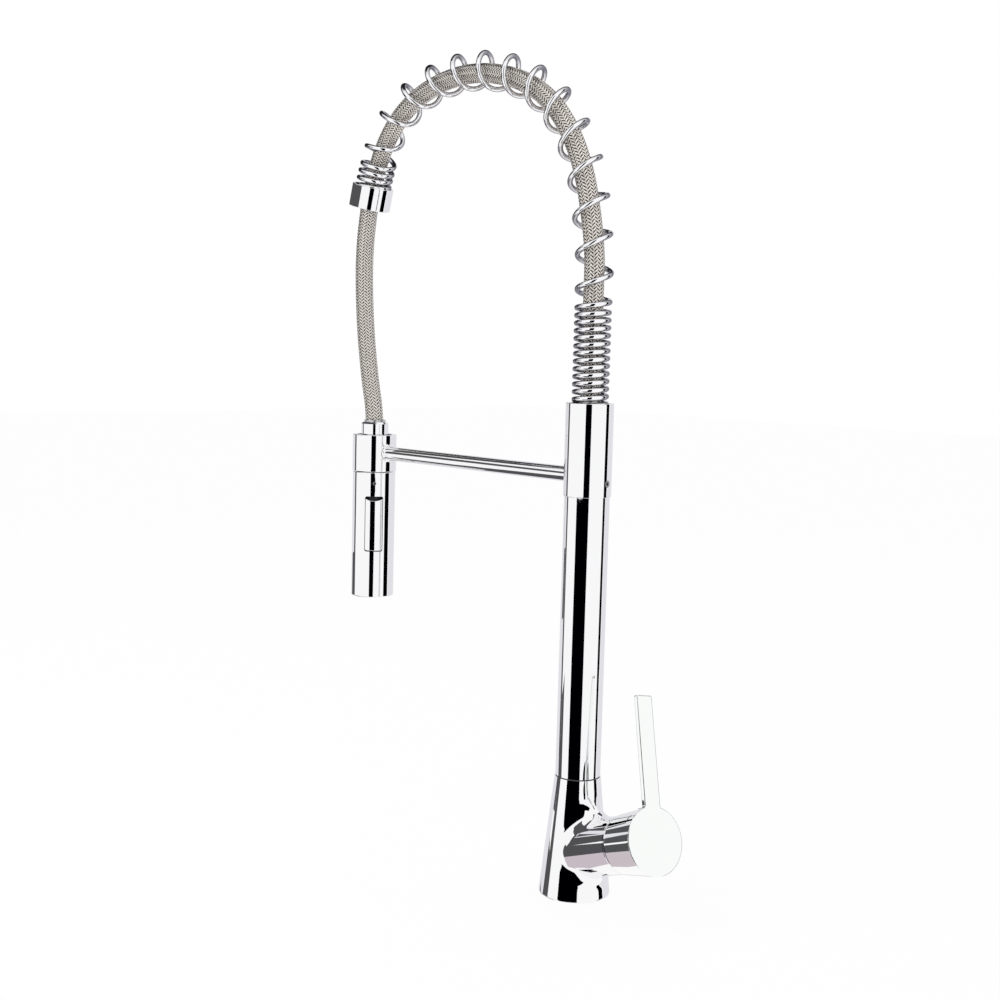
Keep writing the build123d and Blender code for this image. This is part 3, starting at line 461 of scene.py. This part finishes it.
def plating_group():
    """Plated metal: long soft waves left by polishing, and faint dried drops that haze
    the shine in small patches."""
    tree, entry, leave = group_tree("plating", {"Waviness": 0.02, "Haze": 0.02},
                                    {"Roughness": "NodeSocketFloat", "Normal": "NodeSocketVector"})
    place = add_node(tree, "ShaderNodeTexCoord", -800, 0)
    waves = add_node(tree, "ShaderNodeTexNoise", -600, 0, Scale=38.0, Detail=1.0)
    drops = add_node(tree, "ShaderNodeTexNoise", -600, -300, Scale=210.0, Detail=4.0, Roughness=0.6)
    for texture in (waves, drops):
        tree.links.new(place.outputs["Object"], texture.inputs["Vector"])
    bump = add_node(tree, "ShaderNodeBump", 300, 0, Distance=0.0006)
    tree.links.new(entry.outputs["Waviness"], bump.inputs["Strength"])
    tree.links.new(waves.outputs["Fac"], bump.inputs["Height"])
    patch = add_node(tree, "ShaderNodeMapRange", -350, -300, From_Min=0.48, From_Max=0.78)
    tree.links.new(drops.outputs["Fac"], patch.inputs["Value"])
    clear = 0.02
    haze = math_node(tree, "MULTIPLY_ADD", 0, -300,
                     patch.outputs["Result"], entry.outputs["Haze"], clear)
    tree.links.new(haze, leave.inputs["Roughness"])
    tree.links.new(bump.outputs["Normal"], leave.inputs["Normal"])
    return tree


plating = plating_group()


def place_group(made, group, links, **inputs):
    """Puts a node group in a material with its own values, and links its outputs to the
    shader's sockets of the given names."""
    tree = made.node_tree
    node = add_node(tree, "ShaderNodeGroup", -300, 0)
    node.node_tree = group
    for name, value in inputs.items():
        node.inputs[name.replace("_", " ")].default_value = value
    for name in links:
        source = "Color" if name == "Base Color" else name
        tree.links.new(node.outputs[source], tree.nodes["Principled BSDF"].inputs[name])
    return made


def chrome(name, tint, waviness=0.01, haze=0.03):
    """Polished chrome plate with its own tint, waves and haze."""
    made, _ = material(name, tint, metal=1.0)
    return place_group(made, plating, ("Roughness", "Normal"), Waviness=waviness, Haze=haze)


def wire_chrome():
    """Chrome on drawn wire, with painted shade: its colour darkens towards the wire's edges,
    where the surface turns away from the view, in place of the neighbouring turns it would mirror."""
    seen_from_afar = (0.93, 0.93, 0.95)
    bright_middle = (0.94, 0.94, 0.96)
    painted_edge_shade = (0.16, 0.15, 0.18)
    made = chrome("chrome spring", seen_from_afar, haze=0.05)
    tree = made.node_tree
    # Painted shade: the colour goes dark as the surface turns away from the view.
    edge = add_node(tree, "ShaderNodeLayerWeight", -900, 300)
    shade = add_node(tree, "ShaderNodeMapRange", -600, 300, From_Min=0.18, From_Max=0.62)
    tree.links.new(edge.outputs["Facing"], shade.inputs["Value"])
    tone = blend_colors(tree, -300, 300, shade.outputs["Result"], bright_middle, painted_edge_shade)
    tree.links.new(tone, tree.nodes["Principled BSDF"].inputs["Base Color"])
    return made


coil_far, coil_angle, coil_turn = coil_line()
grown_share = np.clip((coil_turn - lower_turns) / growth_turns, 0, 1)
coil_radius = close_radius + (open_radius - close_radius) * grown_share
coil_hang = hose_hang * eased(np.minimum((coil_turn - hang_turn) / hang_turns, closing(coil_turn)))
coil_middle, _, coil_outward = on_route(coil_far)
coil_shift = coil_hang[:, None] * coil_outward
coil_centre = round_route(coil_far, coil_angle, coil_radius) + coil_shift
coil_points = wire_tube(coil_centre, coil_centre - coil_middle - coil_shift, wire / 2, wire_sides)
spring_wire = add_piece("spring_wire", coil_points.reshape(-1, 3),
                        grid_faces(len(coil_points), wire_sides, closed=True),
                        wire_chrome())
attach(spring_wire, "spout")
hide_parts("spring")


# Body: one brass casting, turned outside, ground smooth where the branch runs into it,
# and chrome plated. The dome ring screws on over the cartridge and is plated too.
def finish_node(name, finish):
    """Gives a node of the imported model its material."""
    nodes[name].material_slots[0].material = finish


finish_node("body", chrome("chrome body", (0.93, 0.93, 0.94), waviness=0.012))
finish_node("dome_ring", chrome("chrome dome ring", (0.92, 0.92, 0.93)))


# Base gasket: a moulded rubber ring in a groove of the body's underside, which seals it
# to the deck.
def moulded_group():
    """Moulded or fired stuff: a cloudy tint, fine grain from the mould and uneven shine."""
    tree, entry, leave = group_tree(
        "moulded", {"Tint": (0.5, 0.5, 0.5, 1), "Cloud": 0.15, "Grain": 0.2, "Shine": 0.5},
        {"Color": "NodeSocketColor", "Roughness": "NodeSocketFloat", "Normal": "NodeSocketVector"})
    place = add_node(tree, "ShaderNodeTexCoord", -1000, -250)
    cloud = add_node(tree, "ShaderNodeTexNoise", -750, 0, Scale=120.0, Detail=3.0)
    grain = add_node(tree, "ShaderNodeTexNoise", -750, -350, Scale=2600.0, Detail=2.0)
    for texture in (cloud, grain):
        tree.links.new(place.outputs["Object"], texture.inputs["Vector"])
    shade = math_node(tree, "MULTIPLY_ADD", -350, 0, math_node(
        tree, "SUBTRACT", -520, 0, cloud.outputs["Fac"], 0.5), entry.outputs["Cloud"], 1.0)
    tint = add_node(tree, "ShaderNodeVectorMath", 0, 150)
    tint.operation = "SCALE"
    tree.links.new(entry.outputs["Tint"], tint.inputs[0])
    tree.links.new(shade, tint.inputs["Scale"])
    tree.links.new(tint.outputs[0], leave.inputs["Color"])
    uneven = 0.12
    rough = math_node(tree, "MULTIPLY_ADD", -150, -150,
                      cloud.outputs["Fac"], uneven, entry.outputs["Shine"])
    tree.links.new(rough, leave.inputs["Roughness"])
    bump = add_node(tree, "ShaderNodeBump", 200, -350, Distance=0.0001)
    tree.links.new(entry.outputs["Grain"], bump.inputs["Strength"])
    tree.links.new(grain.outputs["Fac"], bump.inputs["Height"])
    tree.links.new(bump.outputs["Normal"], leave.inputs["Normal"])
    return tree


moulding = moulded_group()


def moulded(name, tint, shine, cloud=0.2, grain=0.25):
    """Plastic, rubber or ceramic with its own tint, shine and grain."""
    made, _ = material(name, tint)
    return place_group(made, moulding, ("Base Color", "Roughness", "Normal"),
                       Tint=(*tint, 1), Cloud=cloud, Grain=grain, Shine=shine)


finish_node("base_gasket", moulded("rubber gasket", (0.035, 0.034, 0.033), 0.5, grain=0.5))


# Cartridge: a moulded housing with a cap, two fired and lapped discs, a moulded carrier
# and rubber seals. The turned brass nut clamps it in the branch.
def turned_group():
    """Turned metal: fine even tool rings round its own axis, and a stain that comes with
    handling and age."""
    tree, entry, leave = group_tree(
        "turned", {"Tint": (0.7, 0.7, 0.7, 1), "Stain": 0.2, "Rings": 0.3, "Shine": 0.25},
        {"Color": "NodeSocketColor", "Roughness": "NodeSocketFloat", "Normal": "NodeSocketVector"})
    place = add_node(tree, "ShaderNodeTexCoord", -1000, -250)
    stain = add_node(tree, "ShaderNodeTexNoise", -750, 0, Scale=90.0, Detail=4.0)
    rings = add_node(tree, "ShaderNodeTexWave", -750, -350, Scale=420.0, Distortion=1.5, Detail=2.0)
    rings.bands_direction = "Z"
    for texture in (stain, rings):
        tree.links.new(place.outputs["Object"], texture.inputs["Vector"])
    dulled = math_node(tree, "MULTIPLY", -400, 0, stain.outputs["Fac"], entry.outputs["Stain"])
    left = math_node(tree, "SUBTRACT", -200, 0, 1.0, dulled)
    tint = add_node(tree, "ShaderNodeVectorMath", 0, 150)
    tint.operation = "SCALE"
    tree.links.new(entry.outputs["Tint"], tint.inputs[0])
    tree.links.new(left, tint.inputs["Scale"])
    tree.links.new(tint.outputs[0], leave.inputs["Color"])
    uneven = 0.2
    rough = math_node(tree, "MULTIPLY_ADD", -150, -150,
                      stain.outputs["Fac"], uneven, entry.outputs["Shine"])
    tree.links.new(rough, leave.inputs["Roughness"])
    bump = add_node(tree, "ShaderNodeBump", 200, -350, Distance=0.00005)
    tree.links.new(entry.outputs["Rings"], bump.inputs["Strength"])
    tree.links.new(rings.outputs["Fac"], bump.inputs["Height"])
    tree.links.new(bump.outputs["Normal"], leave.inputs["Normal"])
    return tree


turning = turned_group()


def turned(name, tint, shine, stain=0.2, rings=0.3):
    """Turned metal with its own tint, shine, stain and tool rings."""
    made, _ = material(name, tint, metal=1.0)
    return place_group(made, turning, ("Base Color", "Roughness", "Normal"),
                       Tint=(*tint, 1), Stain=stain, Rings=rings, Shine=shine)


finish_node("cartridge_housing", moulded("housing plastic", (0.78, 0.77, 0.72), 0.35))
finish_node("carrier", moulded("carrier plastic", (0.74, 0.73, 0.69), 0.4))
finish_node("cartridge_cap", moulded("cap plastic", (0.80, 0.79, 0.74), 0.35))
finish_node("fixed_disc", moulded("fixed ceramic", (0.88, 0.86, 0.80), 0.12, cloud=0.06, grain=0.05))
finish_node("moving_disc", moulded("moving ceramic", (0.86, 0.84, 0.78), 0.12, cloud=0.06, grain=0.05))
seal_black = (0.05, 0.048, 0.045)
finish_node("cartridge_seals", moulded("cartridge rubber", seal_black, 0.5))
brass = (0.72, 0.56, 0.30)
finish_node("cartridge_nut", turned("nut brass", brass, 0.25))


# Stem: a turned brass pin that tilts on a steel pin in the carrier and works the discs.
# The handle is held to it by a steel grub screw behind a small index plug.
finish_node("stem", turned("stem brass", brass, 0.2))
pin_steel = (0.55, 0.55, 0.56)
screw_steel = (0.45, 0.45, 0.46)
finish_node("tilt_pin", turned("pin steel", pin_steel, 0.18))
finish_node("handle_screw", turned("handle screw steel", screw_steel, 0.25))
finish_node("index_plug", moulded("index plastic", (0.55, 0.56, 0.58), 0.3))


# Column: a drawn brass tube on the swivelling spigot, and the collar that caps it and
# takes the foot of the spring. Both are polished and plated.
finish_node("column_tube", chrome("chrome column", (0.93, 0.93, 0.94), waviness=0.008))
finish_node("collar", chrome("chrome collar", (0.93, 0.93, 0.94)))


# Swivel: a turned brass spigot brazed into the column, with two rubber seals, a sprung
# steel ring that keeps it in the body and a moulded slip ring that the column turns on.
finish_node("swivel_spigot", turned("spigot brass", brass, 0.2))
finish_node("spigot_seals", moulded("spigot rubber", seal_black, 0.5))
finish_node("retaining_ring", turned("ring steel", (0.50, 0.50, 0.51), 0.25))
finish_node("slip_ring", moulded("slip plastic", (0.08, 0.08, 0.09), 0.4))


# Column head: a turned brass plug brazed into the top of the tube. A steel grub screw
# holds the collar on it, and the hose's brass nipple is screwed into it and crimped.
finish_node("column_head", turned("head brass", (0.70, 0.54, 0.29), 0.25))
finish_node("collar_screw", turned("collar screw steel", screw_steel, 0.2))
finish_node("base_nipple", turned("base nipple brass", brass, 0.22))
crimp_steel = (0.70, 0.70, 0.71)
finish_node("base_crimp", turned("base crimp steel", crimp_steel, 0.22, rings=0.15))


# Arm and holder: a drawn rod brazed between the collar and the turned ring that the
# spray rests in, plated as one piece. A moulded bush lines the ring.
finish_node("holder_arm", chrome("chrome arm", (0.92, 0.92, 0.93)))
finish_node("holder_ring", chrome("chrome holder", (0.93, 0.93, 0.94)))
finish_node("holder_bush", moulded("holder plastic", (0.07, 0.07, 0.075), 0.4))


# End collar: a turned and plated cup that closes the free end of the spring. A moulded
# bush pressed into it guides the hose.
finish_node("end_collar", chrome("chrome end collar", (0.93, 0.93, 0.94)))
finish_node("end_bush", moulded("end bush plastic", (0.07, 0.07, 0.075), 0.4))


# Handle: a die-cast skirt, disc and bar in one piece, polished flat and plated.
finish_node("lever_handle", chrome("chrome handle", (0.94, 0.955, 0.945), waviness=0.006))


# Spray: a turned shell with a milled slot, its cast button, and the nut on the hose.
# All three are polished and plated.
finish_node("spray_shell", chrome("chrome spray", (0.93, 0.93, 0.94)))
finish_node("button", chrome("chrome button", (0.93, 0.93, 0.94)))
finish_node("inlet_nut", chrome("chrome nut", (0.93, 0.93, 0.94)))


# Spray inlet: a turned brass nipple with a rubber seal, joined to the hose by a crimped
# steel sleeve. It turns freely under the nut.
finish_node("spray_nipple", turned("spray nipple brass", brass, 0.22))
finish_node("nipple_seal", moulded("nipple rubber", seal_black, 0.5))
finish_node("spray_crimp", turned("spray crimp steel", crimp_steel, 0.22, rings=0.15))


# Spray inside: a moulded core held by a steel screw. A check valve sits in its inlet,
# and the button's pin lets it press a sprung steel plunger that opens the water.
finish_node("spray_core", moulded("core plastic", (0.12, 0.12, 0.13), 0.4))
finish_node("check_valve", moulded("valve plastic", (0.80, 0.80, 0.78), 0.35))
finish_node("shell_screw", turned("shell screw steel", screw_steel, 0.2))
finish_node("button_pin", turned("button pin steel", pin_steel, 0.18))
finish_node("valve_plunger", turned("plunger steel", pin_steel, 0.18))
finish_node("valve_spring", turned("valve spring steel", pin_steel, 0.15))


# Spray face: a moulded plate with a ring of soft nozzles round the moulded aerator.
finish_node("spray_face", moulded("face plastic", (0.20, 0.20, 0.21), 0.4))
finish_node("nozzle_ring", moulded("nozzle rubber", (0.30, 0.30, 0.32), 0.5))
finish_node("aerator", moulded("aerator plastic", (0.60, 0.62, 0.64), 0.35))


# Studio: a white floor and surround, and dark and grey cards that only the polished metal
# sees, as a photographer stands them round bright plate to draw its shape.
floor_size = 12.0
white_share = 0.93


def floor_white():
    """White paper: mostly plain white to the camera, so that only a soft shadow is left."""
    made, shader = material("floor paper", (0.99, 0.99, 0.99), roughness=0.9)
    tree = made.node_tree
    light = add_node(tree, "ShaderNodeLightPath", -500, 300)
    white = add_node(tree, "ShaderNodeEmission", 0, 200, Strength=1.0)
    seen = math_node(tree, "MULTIPLY", -200, 300, light.outputs["Is Camera Ray"], white_share)
    share = add_node(tree, "ShaderNodeMixShader", 300, 100)
    tree.links.new(seen, share.inputs["Fac"])
    tree.links.new(shader.outputs["BSDF"], share.inputs[1])
    tree.links.new(white.outputs["Emission"], share.inputs[2])
    tree.links.new(share.outputs["Shader"], tree.nodes["Material Output"].inputs["Surface"])
    return made


def add_sheet(name, corners, finish):
    """A flat four-cornered sheet of the studio."""
    mesh = bpy.data.meshes.new(name)
    mesh.from_pydata([tuple(corner) for corner in corners], [], [(0, 1, 2, 3)])
    mesh.materials.append(finish)
    sheet = bpy.data.objects.new(name, mesh)
    scene.collection.objects.link(sheet)
    return sheet


def card_paint(name, shade):
    """Evenly lit board: an emission of the shade, so that every mirror shows just that."""
    made, shader = material(name, (0, 0, 0), roughness=1.0)
    shader.inputs["Specular IOR Level"].default_value = 0
    shader.inputs["Emission Color"].default_value = (*shade, 1)
    shader.inputs["Emission Strength"].default_value = 1
    return made


def hide_card(card):
    """Leaves a card to mirror reflections alone."""
    card.visible_camera = False
    card.visible_diffuse = False
    card.visible_shadow = False
    card.visible_transmission = False


def add_card(name, first, last, low, high, shade):
    """An upright card between two points of the plan, from a low to a high edge. Only
    mirror reflections show it: it gives no shade and the camera doesn't see it."""
    hide_card(add_sheet(name, [(*first, low), (*last, low), (*last, high), (*first, high)],
                        card_paint(name, shade)))


def add_flat_card(name, first, last, height, shade):
    """A level card over the rectangle between two corners of the plan."""
    corners = [(*first, height), (last[0], first[1], height),
               (*last, height), (first[0], last[1], height)]
    hide_card(add_sheet(name, corners, card_paint(name, shade)))


half = floor_size / 2
floor = add_sheet("floor", [(-half, -half, 0), (half, -half, 0), (half, half, 0), (-half, half, 0)],
                  floor_white())
floor.visible_glossy = False

black = (0.0, 0.0, 0.001)
charcoal = (0.05, 0.05, 0.055)
dark_grey = (0.085, 0.085, 0.09)
rose_grey = (0.60, 0.53, 0.57)
pale_grey = (0.80, 0.79, 0.83)
wall_foot = -1.2
wall_top = 1.6
add_card("card_front", (0.507, -1.087), (0.958, -0.722), wall_foot, wall_top, black)
add_card("card_front_low", (-0.042, -0.297), (0.160, -0.266), -0.30, 0.2568, black)
add_card("card_right", (1.166, 0.944), (0.795, 1.272), wall_foot, wall_top, black)

far_left = [(-1.455, -0.363), (-1.348, -0.657)]
near_left = -0.500
add_card("card_left_high", *far_left, -0.20, wall_top, dark_grey)
add_card("card_left_middle", (near_left, -0.125), (near_left, -0.245), -0.045, 0.031, dark_grey)
add_card("card_left_low", *far_left, wall_foot, -0.30, dark_grey)
add_card("card_left_wide", (near_left, -0.250), (near_left, -0.450), -0.30, 0.012, dark_grey)
add_card("card_left_foot", (near_left, -0.160), (near_left, -0.250), -0.30, -0.10, dark_grey)
add_card("card_left_above", (near_left, -0.125), (near_left, 0.0), 0.105, 0.18, dark_grey)

high_turn = (-0.836, -0.996)
high_foot = 0.355
high_top = 0.80
add_card("card_high_front", (-0.531, -1.138), high_turn, high_foot, high_top, dark_grey)
add_card("card_high_side", high_turn, (-1.222, -0.445), high_foot, high_top, dark_grey)
add_card("card_high_left", (-1.35, -0.45), (-1.35, 1.0), 0.45, wall_top, dark_grey)

below_floor = -0.25
overhead = 1.3
add_flat_card("card_low_left", (-0.85, -0.45), (-0.47, 0.15), below_floor, dark_grey)
add_flat_card("card_low_middle", (-0.47, -0.40), (-0.15, 0.0), below_floor, rose_grey)
near_right = [(0.245, 0.206), (0.370, 0.425), (0.395, 0.632)]
for index, (first, last) in enumerate(zip(near_right, near_right[1:])):
    add_card(f"card_near_right_{index}", first, last, 0.0, 0.345, black)
add_flat_card("card_over", (-1.35, -0.3), (-0.2, 1.3), overhead, charcoal)

backdrop_radius = 1.6
backdrop_turns = np.radians([62, 95, 128, 161, 194])
backdrop = [(backdrop_radius * math.cos(a), backdrop_radius * math.sin(a)) for a in backdrop_turns]
for index, (first, last) in enumerate(zip(backdrop, backdrop[1:])):
    add_card(f"backdrop_{index}", first, last, wall_foot, wall_top, pale_grey)

world = bpy.data.worlds.new("studio")
world.use_nodes = True
scene.world = world
sky = world.node_tree
surround = sky.nodes["Background"]
surround.inputs["Color"].default_value = (1, 1, 1, 1)
rays = add_node(sky, "ShaderNodeLightPath", -700, 0)
mirrored = math_node(sky, "MAXIMUM", -500, 0,
                     rays.outputs["Is Camera Ray"], rays.outputs["Is Glossy Ray"])
mirrored = math_node(sky, "MAXIMUM", -350, 0, mirrored, rays.outputs["Is Transmission Ray"])
fill_light = 0.8
strength = math_node(sky, "MULTIPLY_ADD", -150, 0, mirrored, 1 - fill_light, fill_light)
sky.links.new(strength, surround.inputs["Strength"])

lamp_data = bpy.data.lights.new("soft_lamp", "AREA")
lamp_data.shape = "DISK"
lamp_data.size = 0.9
lamp_data.energy = 6.0
lamp = bpy.data.objects.new("soft_lamp", lamp_data)
lamp.location = (-0.5, -0.9, 1.5)
lamp_way = Vector((0, 0, 0.25)) - Vector(lamp.location)
lamp.rotation_euler = lamp_way.to_track_quat("-Z", "Y").to_euler()
lamp.visible_glossy = False
scene.collection.objects.link(lamp)
